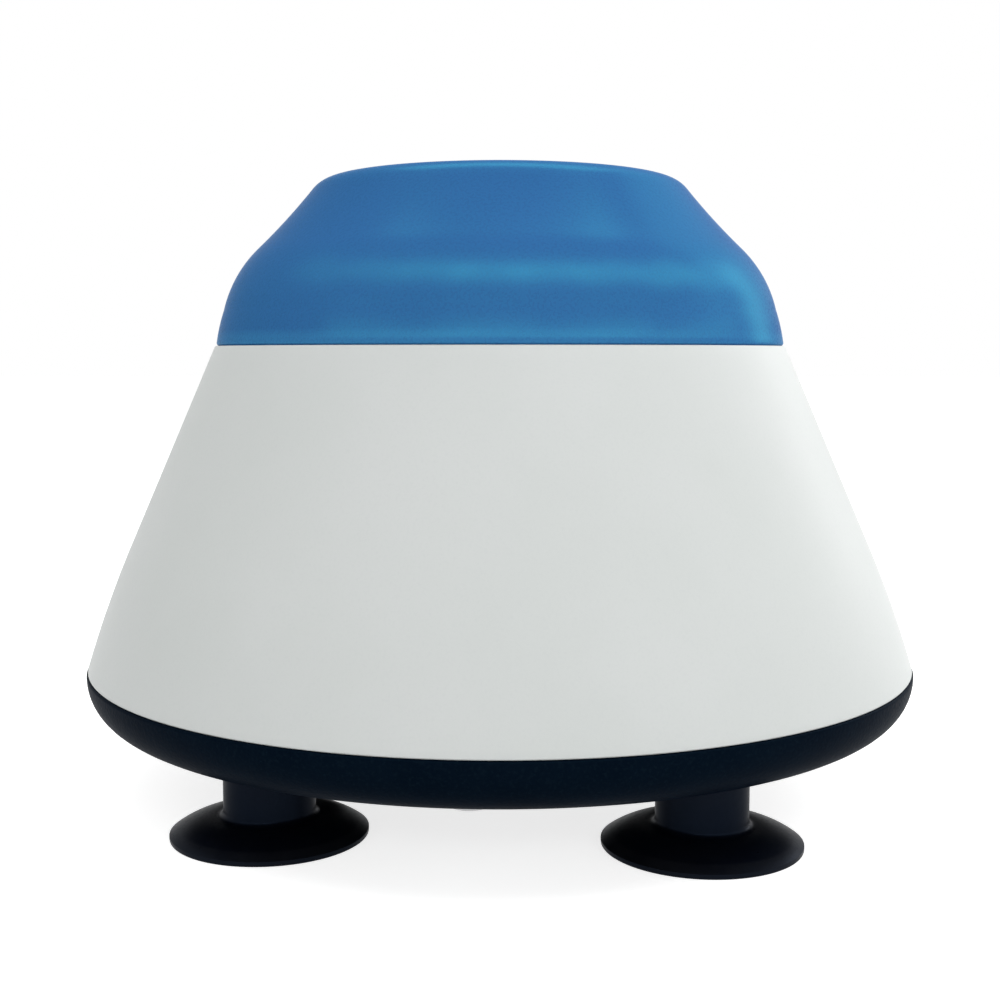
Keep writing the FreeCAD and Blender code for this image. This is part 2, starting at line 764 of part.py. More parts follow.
guide_bushes = []
orbit_pegs = []
for index, angle in enumerate(POST_ANGLES, 1):
    bush = turned(f"guide_bush_{index}", [
        ("rod_radius + slide_gap", "bush_bottom"),
        ("bush_flange_radius", "bush_bottom"),
        ("bush_flange_radius", "can_top"),
        ("bush_radius", "can_top"),
        ("bush_radius", "bush_top"),
        ("rod_radius + slide_gap", "bush_top"),
    ])
    place(bush, *polar("post_pitch", angle))
    guide_bushes.append(bush)
keep(group("guide_bushes", guide_bushes))
for index, angle in enumerate(PEG_ANGLES, 1):
    peg = turned(f"orbit_peg_{index}", [
        ("0", "can_top"),
        ("peg_radius", "can_top"),
        ("peg_radius", "plate_top"),
        ("peg_collar_radius", "plate_top"),
        ("peg_collar_radius", "plate_top + peg_collar_height"),
        ("peg_radius", "plate_top + peg_collar_height"),
        ("peg_radius", "peg_top - peg_tip_chamfer"),
        ("peg_radius - peg_tip_chamfer", "peg_top"),
        ("0", "peg_top"),
    ])
    place(peg, *polar("peg_pitch", angle))
    orbit_pegs.append(peg)
keep(group("orbit_pegs", orbit_pegs))

# Motor: a drawn can with its nose in the plate, closed below by a plug with the rear bearing.
motor_can = keep(turned("motor_can", [
    ("can_inner", "can_bottom"),
    ("motor_radius", "can_bottom"),
    ("motor_radius", "can_top - motor_can_round", "motor_can_round", "left"),
    ("motor_radius - motor_can_round", "can_top"),
    ("motor_nose_radius", "can_top"),
    ("motor_nose_radius", "nose_top"),
    ("motor_bush_radius", "nose_top"),
    ("motor_bush_radius", "can_top - motor_can_wall"),
    ("can_inner", "can_top - motor_can_wall"),
]))
extrude(motor_can, "Pocket", ring_of("motor_screw_pitch", PAIR_ANGLES), "motor_screw_radius",
        "can_top", "motor_can_wall")
motor_bush = keep(turned("motor_bush", [
    ("shaft_bore", "can_top - motor_can_wall - motor_bush_inset"),
    ("motor_bush_radius", "can_top - motor_can_wall - motor_bush_inset"),
    ("motor_bush_radius", "nose_top"),
    ("shaft_bore", "nose_top"),
]))
motor_end_cap = keep(turned("motor_end_cap", [
    ("0", "motor_bottom"),
    ("motor_tail_radius", "motor_bottom"),
    ("motor_tail_radius", "cap_bottom"),
    ("motor_radius", "cap_bottom"),
    ("motor_radius", "can_bottom"),
    ("can_inner", "can_bottom"),
    ("can_inner", "plug_top"),
    ("shaft_bore", "plug_top"),
    ("shaft_bore", "motor_bottom + shaft_tail_wall"),
    ("0", "motor_bottom + shaft_tail_wall"),
]))
magnets = []
for index, angle in enumerate(PAIR_ANGLES, 1):
    magnet = turned(f"motor_magnet_{index}", [
        ("magnet_inner", "can_bottom + magnet_lift"),
        ("can_inner", "can_bottom + magnet_lift"),
        ("can_inner", "can_bottom + magnet_lift + magnet_length"),
        ("magnet_inner", "can_bottom + magnet_lift + magnet_length"),
    ], MAGNET_SWEEP)
    magnet.Placement = Placement(Vector(), Rotation(Vector(0, 0, 1), angle))
    magnets.append(magnet)
keep(group("motor_magnets", magnets))

terminals = []
for index, angle in enumerate(TERMINAL_ANGLES, 1):
    tab = doc.addObject("Part::Box", f"motor_terminal_{index}")
    tab.setExpression("Length", bound("terminal_width"))
    tab.setExpression("Width", bound("terminal_thickness"))
    tab.setExpression("Height", bound("terminal_length"))
    place(tab, "-(terminal_width) / 2", f"terminal_pitch * sin({angle}) - terminal_thickness / 2",
          "cap_bottom - terminal_length")
    terminals.append(tab)
keep(group("motor_terminals", terminals))

motor_screws = []
for index, angle in enumerate(PAIR_ANGLES, 1):
    screw = turned(f"motor_screw_{index}", [
        ("0", "plate_top - motor_screw_length"),
        ("motor_screw_radius", "plate_top - motor_screw_length"),
        ("motor_screw_radius", "plate_top"),
        ("motor_screw_head_radius", "plate_top"),
        ("motor_screw_head_radius", "plate_top + motor_screw_head_height"),
        ("0", "plate_top + motor_screw_head_height"),
    ])
    place(screw, *polar("motor_screw_pitch", angle))
    motor_screws.append(screw)
keep(group("motor_screws", motor_screws))

# Rotor: shaft, slotted core with its windings, commutator, and the hub with the offset journal.
motor_shaft = keep(turned("motor_shaft", [
    ("0", "shaft_bottom"),
    ("shaft_radius", "shaft_bottom"),
    ("shaft_radius", "hub_top - hub_roof"),
    ("0", "hub_top - hub_roof"),
]))
core_bottom = "can_bottom + armature_lift"
core_top = core_bottom + " + armature_length"
motor_armature = keep(turned("motor_armature", [
    ("shaft_radius", core_bottom + " - winding_length"),
    ("winding_radius", core_bottom + " - winding_length"),
    ("winding_radius", core_bottom),
    ("armature_radius", core_bottom),
    ("armature_radius", core_top),
    ("winding_radius", core_top),
    ("winding_radius", core_top + " + winding_length"),
    ("shaft_radius", core_top + " + winding_length"),
]))
slot = extrude(motor_armature, "Pocket", [("slot_pitch", "0")], "slot_radius",
               core_top + " + winding_length", "armature_length + 2 * winding_length")
slots = motor_armature.newObject("PartDesign::PolarPattern", "armature_slots")
slots.Originals = [slot]
slots.Axis = (origin_part(motor_armature, "Z_Axis"), [""])
slots.Angle = FULL_TURN
slots.Occurrences = SLOT_COUNT
motor_armature.Tip = slots
motor_commutator = keep(turned("motor_commutator", [
    ("shaft_radius", core_bottom + " - winding_length - commutator_length"),
    ("commutator_radius", core_bottom + " - winding_length - commutator_length"),
    ("commutator_radius", core_bottom + " - winding_length"),
    ("shaft_radius", core_bottom + " - winding_length"),
]))

eccentric_hub = keep(turned("eccentric_hub", [
    ("shaft_radius", "hub_bottom"),
    ("hub_radius", "hub_bottom"),
    ("hub_radius", "hub_top"),
    ("0", "hub_top"),
    ("0", "hub_top - hub_roof"),
    ("shaft_radius", "hub_top - hub_roof"),
]))
journal_spot = [("orbit", "0")]
journal_steps = (
    ("journal_shoulder_radius", "hub_top", "journal_shoulder_height"),
    ("journal_radius", "bearing_bottom", "bearing_width"),
    ("journal_radius - journal_clip_depth", "bearing_top", "journal_clip_thickness"),
    ("journal_radius", "journal_clip_top", "journal_tip"),
)
for radius, level, length in journal_steps:
    extrude(eccentric_hub, "Pad", journal_spot, radius, level, length)
extrude(eccentric_hub, "Pocket", [("0", "hub_bottom + set_screw_height")], "set_screw_radius",
        "0", "hub_radius", "YZ_Plane", True)

hub_set_screw = keep(doc.addObject("Part::Cylinder", "hub_set_screw"))
hub_set_screw.setExpression("Radius", bound("set_screw_radius"))
hub_set_screw.setExpression("Height", bound("hub_radius - shaft_radius - set_screw_sink"))
hub_set_screw.Placement = Placement(Vector(), Rotation(Vector(0, 1, 0), 90))
place(hub_set_screw, "shaft_radius", "0", "hub_bottom + set_screw_height")

counterweight = keep(turned("counterweight", [
    ("hub_radius", "weight_bottom"),
    ("weight_radius", "weight_bottom"),
    ("weight_radius", "weight_bottom + weight_height"),
    ("hub_radius", "weight_bottom + weight_height"),
], WEIGHT_SWEEP))
counterweight.Placement = Placement(Vector(), Rotation(Vector(0, 0, 1), 180))

# Head bearing on the journal: two grooved rings with a row of balls between them.
bearing_inner_ring = keep(turned("bearing_inner_ring", [
    ("journal_radius", "bearing_bottom"),
    ("inner_land", "bearing_bottom"),
    ("inner_land", "bearing_middle - race_reach", "race_radius", "right"),
    ("inner_land", "bearing_middle + race_reach"),
    ("inner_land", "bearing_top"),
    ("journal_radius", "bearing_top"),
]))
bearing_outer_ring = keep(turned("bearing_outer_ring", [
    ("outer_land", "bearing_bottom"),
    ("bearing_radius", "bearing_bottom"),
    ("bearing_radius", "bearing_top"),
    ("outer_land", "bearing_top"),
    ("outer_land", "bearing_middle + race_reach", "race_radius", "right"),
    ("outer_land", "bearing_middle - race_reach"),
]))
balls = []
for index in range(BALL_COUNT):
    ball = doc.addObject("Part::Sphere", f"bearing_ball_{index + 1}")
    ball.setExpression("Radius", bound("ball_radius"))
    across, along = polar("ball_pitch", index * FULL_TURN / BALL_COUNT)
    place(ball, "orbit + " + across, along, "bearing_middle")
    balls.append(ball)
keep(group("bearing_balls", balls))
journal_clip = keep(turned("journal_clip", [
    ("journal_radius - journal_clip_depth", "bearing_top"),
    ("journal_clip_radius", "bearing_top"),
    ("journal_clip_radius", "journal_clip_top"),
    ("journal_radius - journal_clip_depth", "journal_clip_top"),
], CLIP_SWEEP))

# Cup carrier: holds the bearing's outer ring. Pegs on the cradle stand in its blind eyes and
# keep it from turning, and its flange covers the opening from below.
cup_carrier = keep(turned("cup_carrier", [
    ("bearing_radius", "carrier_bottom"),
    ("carrier_boss_radius", "carrier_bottom"),
    ("carrier_boss_radius", "eye_top"),
    ("carrier_flange_radius", "eye_top"),
    ("carrier_flange_radius", "flange_top"),
    ("carrier_boss_radius", "flange_top"),
    ("carrier_boss_radius", "carrier_top"),
    ("0", "carrier_top"),
    ("0", "carrier_top - carrier_roof"),
    ("ring_land_radius", "carrier_top - carrier_roof"),
    ("ring_land_radius", "bearing_top"),
    ("bearing_radius", "bearing_top"),
]))
eye_spots = ring_of("peg_pitch", PEG_ANGLES)
extrude(cup_carrier, "Pad", eye_spots, "eye_radius + eye_wall", "eye_bottom", "eye_depth")
extrude(cup_carrier, "Pocket", eye_spots, "eye_radius", "eye_top", "eye_depth")

tube_cup = keep(turned("tube_cup", [
    ("carrier_boss_radius", "flange_top"),
    ("cup_foot_radius", "flange_top"),
    ("cup_radius", "flange_top + cup_flank_height"),
    ("cup_radius", "cup_top - cup_edge"),
    ("cup_radius - cup_edge", "cup_top"),
    ("cup_radius - cup_edge - cup_rim_width", "cup_top"),
    ("dish_floor_radius", "dish_bottom + dish_floor_rise", "dish_floor_bow", "right"),
    ("0", "dish_bottom"),
    ("0", "carrier_top"),
    ("carrier_boss_radius", "carrier_top"),
]))
for piece in (bearing_inner_ring, bearing_outer_ring, journal_clip, cup_carrier, tube_cup):
    place(piece, "orbit")

doc.recompute()
faults = []
for item in doc.Objects:
    if "Invalid" in item.State or "Error" in item.State:
        faults.append(f"{item.Label}: {item.State}")
for node in nodes:
    if node.Shape.isNull() or not node.Shape.isValid():
        faults.append(f"{node.Label}: no sound shape")
if faults:
    raise RuntimeError("; ".join(faults))
for node in nodes:
    node.Shape.exportStep(f"parts/{node.Label}.step")
    solids = len(node.Shape.Solids)
    print(f"{node.Label}: {solids} solid(s), {node.Shape.Volume:.1f} mm3")
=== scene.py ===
import json
import math
import bpy
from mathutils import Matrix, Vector


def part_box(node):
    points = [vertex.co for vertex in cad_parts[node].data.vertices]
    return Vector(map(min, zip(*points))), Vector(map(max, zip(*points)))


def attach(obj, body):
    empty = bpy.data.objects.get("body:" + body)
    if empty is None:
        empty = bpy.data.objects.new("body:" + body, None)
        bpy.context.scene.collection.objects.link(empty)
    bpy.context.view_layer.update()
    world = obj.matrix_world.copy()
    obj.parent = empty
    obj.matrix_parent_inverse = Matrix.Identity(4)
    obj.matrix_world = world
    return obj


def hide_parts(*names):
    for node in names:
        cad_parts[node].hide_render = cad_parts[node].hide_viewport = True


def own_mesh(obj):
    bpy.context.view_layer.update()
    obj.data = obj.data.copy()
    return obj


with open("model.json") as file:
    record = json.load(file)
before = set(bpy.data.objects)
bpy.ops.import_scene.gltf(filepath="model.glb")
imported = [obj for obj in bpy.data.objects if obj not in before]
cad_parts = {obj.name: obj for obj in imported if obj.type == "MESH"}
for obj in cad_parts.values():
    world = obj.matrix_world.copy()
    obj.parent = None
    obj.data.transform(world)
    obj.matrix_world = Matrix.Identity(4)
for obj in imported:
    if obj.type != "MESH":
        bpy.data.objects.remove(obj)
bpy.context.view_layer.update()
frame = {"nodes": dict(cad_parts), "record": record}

mm = 0.001
mergeGap = 0.002 * mm
cornerSteps = 4  # pieces of the curve at a rounded corner
nodeSlots = {row["node"]: row["material_slot"] for row in frame["record"]["subparts"]}


def edges(node):
    low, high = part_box(node)
    return low / mm, high / mm


trayLow, trayHigh = edges("base_tray")
coverLow, coverHigh = edges("top_cover")
cupLow, cupHigh = edges("tube_cup")
jackLow, jackHigh = edges("dc_jack")
headAxis = (cupLow.x + cupHigh.x) / 2
junction = edges("housing_shell")[1].z  # where cover and shell meet
bandLip = 3.0  # the tray's lip stands this far above the band, inside the shell
trayTop = trayHigh.z - bandLip
layout = {  # pitch radius and angles of what stands on the tray
    "feet": (33.8, (45, 135, 225, 315)),
    "posts": (21.0, (30, 150, 270)),
    "bosses": (39.3, (0, 180, 270)),
}


# Outlines are lists of (radius, height) in millimetres, run with the solid on the left.

def arcTo(start, end, radius, turn, count):
    a, b = Vector(start), Vector(end)
    chord = b - a
    side = Vector((-chord.y, chord.x)).normalized()
    if turn == "right":
        side = -side
    centre = (a + b) / 2 + side * math.sqrt(radius ** 2 - (chord.length / 2) ** 2)
    first = math.atan2(a.y - centre.y, a.x - centre.x)
    sweep = 2 * math.asin(chord.length / 2 / radius)
    if turn == "right":
        sweep = -sweep
    angles = [first + sweep * step / count for step in range(1, count)]
    return [(centre.x + radius * math.cos(t), centre.y + radius * math.sin(t)) for t in angles]


def between(start, end, count):
    return [(start[0] + (end[0] - start[0]) * t / count, start[1] + (end[1] - start[1]) * t / count)
            for t in range(1, count)]


def softened(outline, radius, count=cornerSteps, least=35, share=0.45):
    # Rounds every corner that turns by more than the least angle, within a share of its shorter side.
    rounded = []
    size = len(outline)
    for i, here in enumerate(outline):
        before, after = Vector(outline[i - 1]), Vector(outline[(i + 1) % size])
        corner = Vector(here)
        inward, onward = before - corner, after - corner
        room = min(inward.length, onward.length) * share
        if here[0] < 1e-6 or inward.length < 1e-9 or onward.length < 1e-9:
            rounded.append(here)
            continue
        bend = math.pi - inward.angle(onward)
        if bend < math.radians(least):
            rounded.append(here)
            continue
        reach = min(radius * math.tan(bend / 2), room)
        p, q = corner + inward.normalized() * reach, corner + onward.normalized() * reach
        for step in range(count + 1):
            t = step / count
            spot = p * (1 - t) ** 2 + corner * 2 * t * (1 - t) + q * t ** 2
            rounded.append((spot.x, spot.y))
    return rounded


def markEdges(piece, outline, reach=1.2, fullTurn=1.2):
    # Stores on each point how sharply the outline turns outwards within reach of it, for worn edges and for the
    # blue cover's painted highlight along its convex edges.
    # A turn of fullTurn radians or more counts as 1.
    turns = []
    for i, here in enumerate(outline):
        inward = Vector(here) - Vector(outline[i - 1])
        onward = Vector(outline[(i + 1) % len(outline)]) - Vector(here)
        turns.append(max(0, -inward.angle_signed(onward, 0)) if here[0] > 1e-6 else 0)
    sharp = {}
    for r, z in outline:
        near = [turn for turn, spot in zip(turns, outline) if math.hypot(spot[0] - r, spot[1] - z) <= reach]
        sharp[round(r, 2), round(z, 2)] = min(1, sum(near) / fullTurn)
    edgeWearAndHighlight = piece.data.attributes.new("edge", "FLOAT", "POINT")
    for point, entry in zip(piece.data.vertices, edgeWearAndHighlight.data):
        x, y, z = point.co / mm
        entry.value = sharp.get((round(math.hypot(x, y), 2), round(z, 2)), 0)


def spinPiece(name, outline, steps, closed=True):
    # A chain of points is drawn in the XZ plane and spun about Z.
    spots = [Vector((r, 0, z)) * mm for r, z in outline]
    if closed:
        spots.append(spots[0])
    bpy.ops.object.select_all(action="DESELECT")
    bpy.ops.mesh.primitive_plane_add(size=mm, location=(0, 0, 0))
    piece = bpy.context.object
    piece.name = name
    piece.data.name = name
    bpy.ops.object.mode_set(mode="EDIT")
    bpy.ops.mesh.select_mode(type="VERT")
    bpy.ops.mesh.select_all(action="SELECT")
    bpy.ops.mesh.merge(type="CENTER")
    bpy.ops.transform.translate(value=spots[0])
    for here, there in zip(spots, spots[1:]):
        bpy.ops.mesh.extrude_region_move(TRANSFORM_OT_translate={"value": there - here})
    bpy.ops.mesh.select_all(action="SELECT")
    bpy.ops.mesh.spin(steps=steps, angle=math.tau, center=(0, 0, 0), axis=(0, 0, 1))
    bpy.ops.mesh.select_all(action="SELECT")
    bpy.ops.mesh.remove_doubles(threshold=mergeGap)
    bpy.ops.mesh.dissolve_degenerate(threshold=mergeGap)
    bpy.ops.mesh.select_all(action="SELECT")
    bpy.ops.mesh.normals_make_consistent(inside=False)
    bpy.ops.object.mode_set(mode="OBJECT")
    markEdges(piece, outline)
    return piece


def alone(piece):
    bpy.ops.object.select_all(action="DESELECT")
    piece.select_set(True)
    bpy.context.view_layer.objects.active = piece


def smooth(piece, degrees=30):
    alone(piece)
    bpy.ops.object.shade_smooth_by_angle(angle=math.radians(degrees))


def putAt(piece, spot):
    alone(piece)
    piece.location = Vector(spot) * mm
    bpy.ops.object.transform_apply(location=True, rotation=True, scale=True)


def towardsBack(piece):
    # Turns the piece's own Z axis to +Y.
    alone(piece)
    piece.rotation_euler = (-math.pi / 2, 0, 0)
    bpy.ops.object.transform_apply(location=True, rotation=True, scale=True)


def rod(radius, length, centre, sides=64):
    bpy.ops.object.select_all(action="DESELECT")
    bpy.ops.mesh.primitive_cylinder_add(vertices=sides, radius=radius * mm, depth=length * mm,
                                        location=Vector(centre) * mm)
    bpy.ops.object.transform_apply(location=True, rotation=True, scale=True)
    return bpy.context.object


def combine(piece, tool, operation):
    alone(piece)
    change = piece.modifiers.new(operation.lower(), "BOOLEAN")
    change.operation = operation
    change.solver = "EXACT"
    change.object = tool
    bpy.ops.object.modifier_apply(modifier=change.name)
    bpy.data.objects.remove(tool)


def ringSpots(pitch, angles):
    return [(pitch * math.cos(math.radians(a)), pitch * math.sin(math.radians(a))) for a in angles]


def copyOf(piece, name):
    twin = piece.copy()
    twin.data = piece.data.copy()
    twin.name = name
    twin.data.name = name
    bpy.context.scene.collection.objects.link(twin)
    return twin


def fit(piece, node, body):
    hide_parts(node)
    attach(piece, body)


# Finishes: two shades in soft patches, lighter convex edges (wear on most finishes, a painted highlight on the
# blue cover), and a grain that sets roughness and bump.
patterns = {
    "patchDetail": 4,
    "patchRange": (0.32, 0.68),  # the part of a pattern's values that is spread over its effect
    "grainDetail": 3,
    "grainRange": (0.25, 0.75),
    "fleckRange": (0.5, 0.8),
    "edgeRange": (0.1, 0.9),
    "rubRange": (0.3, 0.6),
    "rubLeast": 0.4,
    "relief": 0.02,
}


def texture(tree, kind, place, scale, detail=None):
    node = tree.nodes.new(kind)
    node.inputs["Scale"].default_value = scale
    if detail is not None:
        node.inputs["Detail"].default_value = detail
    tree.links.new(place, node.inputs["Vector"])
    return node


def ramped(tree, source, low, high, toLow, toHigh):
    node = tree.nodes.new("ShaderNodeMapRange")
    node.inputs["From Min"].default_value = low
    node.inputs["From Max"].default_value = high
    node.inputs["To Min"].default_value = toLow
    node.inputs["To Max"].default_value = toHigh
    tree.links.new(source, node.inputs["Value"])
    return node.outputs["Result"]


def blended(tree, amount, first, second):
    node = tree.nodes.new("ShaderNodeMix")
    node.data_type = "RGBA"
    tree.links.new(amount, node.inputs["Factor"])
    for socket, colour in ((node.inputs[6], first), (node.inputs[7], second)):
        if isinstance(colour, tuple):
            socket.default_value = (*colour, 1)
        else:
            tree.links.new(colour, socket)
    return node.outputs[2]


def makeFinish(name, v):
    p = patterns
    finish = bpy.data.materials.new(name)
    finish.use_nodes = True
    tree = finish.node_tree
    shader = tree.nodes["Principled BSDF"]
    shader.inputs["Metallic"].default_value = v.get("metal", 0)
    shader.inputs["Specular IOR Level"].default_value = v.get("gloss", 0.5)
    shader.inputs["Specular Tint"].default_value = (*v.get("tint", (1, 1, 1)), 1)
    place = tree.nodes.new("ShaderNodeTexCoord").outputs["Object"]
    if "streak" in v:
        lay = tree.nodes.new("ShaderNodeMapping")
        lay.inputs["Scale"].default_value = v["streak"]
        tree.links.new(place, lay.inputs["Vector"])
        place = lay.outputs["Vector"]

    patches = texture(tree, "ShaderNodeTexNoise", place, v["patch"], p["patchDetail"]).outputs["Fac"]
    colour = blended(tree, ramped(tree, patches, *p["patchRange"], 0, 1), v["colour"], v["shade"])
    grain = texture(tree, "ShaderNodeTexNoise", place, v["grain"], p["grainDetail"]).outputs["Fac"]
    if "fleck" in v:
        flecks = ramped(tree, grain, *p["fleckRange"], 0, v["fleckAmount"])
        colour = blended(tree, flecks, colour, v["fleck"])
    # Lighter colour along convex edges, in patches: a painted highlight on the blue cover, wear on the cup rubber
    # and the black plastic, and on the feet simply lighter edges.
    if "wear" in v:
        edge = tree.nodes.new("ShaderNodeAttribute")
        edge.attribute_name = "edge"
        edgeWearAndHighlight = ramped(tree, edge.outputs["Fac"], *p["edgeRange"], 0, v["wearAmount"])
        wearAndHighlightPatches = ramped(tree, patches, *p["rubRange"], p["rubLeast"], 1)
        wearAndHighlightMask = tree.nodes.new("ShaderNodeMath")
        wearAndHighlightMask.operation = "MULTIPLY"
        tree.links.new(edgeWearAndHighlight, wearAndHighlightMask.inputs[0])
        tree.links.new(wearAndHighlightPatches, wearAndHighlightMask.inputs[1])
        colour = blended(tree, wearAndHighlightMask.outputs[0], colour, v["wear"])
    tree.links.new(colour, shader.inputs["Base Color"])

    smoothest, roughest = v["rough"] - v["roughSpread"], v["rough"] + v["roughSpread"]
    rough = ramped(tree, grain, *p["grainRange"], smoothest, roughest)
    tree.links.new(rough, shader.inputs["Roughness"])
    height = grain
    if "pebble" in v:
        height = texture(tree, "ShaderNodeTexVoronoi", place, v["pebble"]).outputs["Distance"]
    bump = tree.nodes.new("ShaderNodeBump")
    bump.inputs["Strength"].default_value = v["bump"]
    bump.inputs["Distance"].default_value = v.get("relief", p["relief"]) * mm
    tree.links.new(height, bump.inputs["Height"])
    tree.links.new(bump.outputs["Normal"], shader.inputs["Normal"])
    return finish


# Scales are per metre: patch 60 is about 16 mm, grain 4000 about a quarter of a millimetre.
finishValues = {
    # blue_cover: the lighter cyan on its convex edges (shoulder, lip, top edge) is a painted highlight, not wear.
    "blue_cover": {"colour": (0.030, 0.098, 0.331), "shade": (0.027, 0.091, 0.313), "patch": 70, "rough": 0.28,
                   "roughSpread": 0.04, "grain": 3200, "bump": 0.10, "gloss": 0.002, "tint": (36.0, 345.0, 375.0),
                   "wear": (0.045, 0.20, 0.45), "wearAmount": 0.45},
    "white_shell": {"colour": (0.725, 0.75, 0.74), "shade": (0.70, 0.73, 0.715), "patch": 55, "rough": 0.42,
                    "roughSpread": 0.05, "grain": 3400, "bump": 0.10, "gloss": 0.06,
                    "fleck": (0.64, 0.67, 0.67), "fleckAmount": 0.25},
    "black_base": {"colour": (0.0003, 0.0010, 0.0040), "shade": (0.0008, 0.0022, 0.0060), "patch": 220,
                   "rough": 0.46, "roughSpread": 0.06, "grain": 2800, "bump": 0.35, "pebble": 2300, "relief": 0.05,
                   "gloss": 0.006, "tint": (2.0, 6.0, 10.0), "fleck": (0.004, 0.009, 0.015), "fleckAmount": 0.6},
    "foot_rubber": {"colour": (0.0012, 0.002, 0.005), "shade": (0.002, 0.003, 0.006), "patch": 240, "rough": 0.33,
                    "roughSpread": 0.06, "grain": 2600, "bump": 0.12, "gloss": 0.02, "tint": (2.0, 3.0, 5.0),
                    "wear": (0.012, 0.013, 0.016), "wearAmount": 0.6},
    "cup_rubber": {"colour": (0.012, 0.012, 0.014), "shade": (0.017, 0.017, 0.018), "patch": 260, "rough": 0.62,
                   "roughSpread": 0.07, "grain": 2600, "bump": 0.20, "gloss": 0.35, "wear": (0.035, 0.035, 0.035),
                   "wearAmount": 0.6},
    "carrier_plastic": {"colour": (0.03, 0.03, 0.033), "shade": (0.024, 0.024, 0.026), "patch": 150, "rough": 0.45,
                        "roughSpread": 0.05, "grain": 3400, "bump": 0.08},
    "black_plastic": {"colour": (0.014, 0.014, 0.016), "shade": (0.010, 0.010, 0.012), "patch": 300, "rough": 0.36,
                      "roughSpread": 0.05, "grain": 3400, "bump": 0.10, "wear": (0.04, 0.04, 0.042),
                      "wearAmount": 0.5},
    "plunger_plastic": {"colour": (0.60, 0.60, 0.58), "shade": (0.56, 0.56, 0.53), "patch": 400, "rough": 0.40,
                        "roughSpread": 0.04, "grain": 3800, "bump": 0.05},
    "board_laminate": {"colour": (0.02, 0.16, 0.06), "shade": (0.016, 0.12, 0.045), "patch": 260, "rough": 0.35,
                       "roughSpread": 0.05, "grain": 1600, "bump": 0.10, "fleck": (0.06, 0.24, 0.10),
                       "fleckAmount": 0.5},
    "ballast_iron": {"colour": (0.10, 0.10, 0.11), "shade": (0.07, 0.065, 0.065), "patch": 180, "rough": 0.55,
                     "roughSpread": 0.10, "grain": 1500, "bump": 0.4, "metal": 0.6, "pebble": 1100, "relief": 0.1},
    "magnet_ferrite": {"colour": (0.05, 0.05, 0.055), "shade": (0.036, 0.036, 0.038), "patch": 300, "rough": 0.60,
                       "roughSpread": 0.08, "grain": 2000, "bump": 0.2},
    "steel": {"colour": (0.56, 0.56, 0.57), "shade": (0.47, 0.47, 0.48), "patch": 400, "rough": 0.28,
              "roughSpread": 0.08, "grain": 3000, "bump": 0.06, "metal": 1, "streak": (1, 1, 4)},
    "spring_steel": {"colour": (0.62, 0.62, 0.63), "shade": (0.52, 0.52, 0.54), "patch": 500, "rough": 0.20,
                     "roughSpread": 0.06, "grain": 3000, "bump": 0.05, "metal": 1},
    "motor_steel": {"colour": (0.60, 0.60, 0.61), "shade": (0.52, 0.53, 0.55), "patch": 120, "rough": 0.30,
                    "roughSpread": 0.08, "grain": 2500, "bump": 0.06, "metal": 1, "streak": (1, 1, 6)},
    "core_steel": {"colour": (0.35, 0.35, 0.36), "shade": (0.28, 0.27, 0.27), "patch": 200, "rough": 0.40,
                   "roughSpread": 0.08, "grain": 2500, "bump": 0.12, "metal": 1, "streak": (1, 1, 10)},
    "plated_nut": {"colour": (0.72, 0.72, 0.72), "shade": (0.64, 0.64, 0.65), "patch": 500, "rough": 0.16,
                   "roughSpread": 0.05, "grain": 3000, "bump": 0.04, "metal": 1},
    "cradle_aluminium": {"colour": (0.72, 0.72, 0.74), "shade": (0.63, 0.63, 0.65), "patch": 200, "rough": 0.34,
                         "roughSpread": 0.08, "grain": 2500, "bump": 0.08, "metal": 1, "streak": (0.08, 1, 1)},
    "contact_brass": {"colour": (0.75, 0.55, 0.24), "shade": (0.63, 0.44, 0.18), "patch": 500, "rough": 0.24,
                      "roughSpread": 0.06, "grain": 3000, "bump": 0.05, "metal": 1},
    "bush_bronze": {"colour": (0.55, 0.36, 0.16), "shade": (0.45, 0.28, 0.12), "patch": 400, "rough": 0.34,
                    "roughSpread": 0.08, "grain": 2200, "bump": 0.10, "metal": 1},
}
finishes = {slot: makeFinish(slot, values) for slot, values in finishValues.items()}


def dress(piece, slot):
    piece.data.materials.clear()
    piece.data.materials.append(finishes[slot])


for node, part in frame["nodes"].items():
    dress(part, nodeSlots[node])
print("finishes made:", len(finishes))


# Blue cover: domed shoulder, slightly hollow slope, rounded edge about the opening.
cover = {
    "lipRadius": coverHigh.x,
    "top": coverHigh.z,
    "skirtBow": 22.0,
    "shoulder": (1.0, 4.2),
    "shoulderBow": 14.8,
    "slopeFoot": (5.1, 11.4),
    "slopeBow": 79.0,
    "slopeTop": (11.6, 18.5),
    "edgeWidth": 2.8,
    "edgeBow": 3.72,
    "openingRadius": 15.5,
    "openingRound": 0.8,
    "topWall": 2.6,
    "sideWall": 2.2,
    "spigotBore": 29.85,
    "spigotRadius": 31.7,
    "spigotFoot": coverLow.z,
    "lipRound": 0.35,
    "lipInset": 0.08,
    "innerRound": 0.2,
    "steps": 192,
}


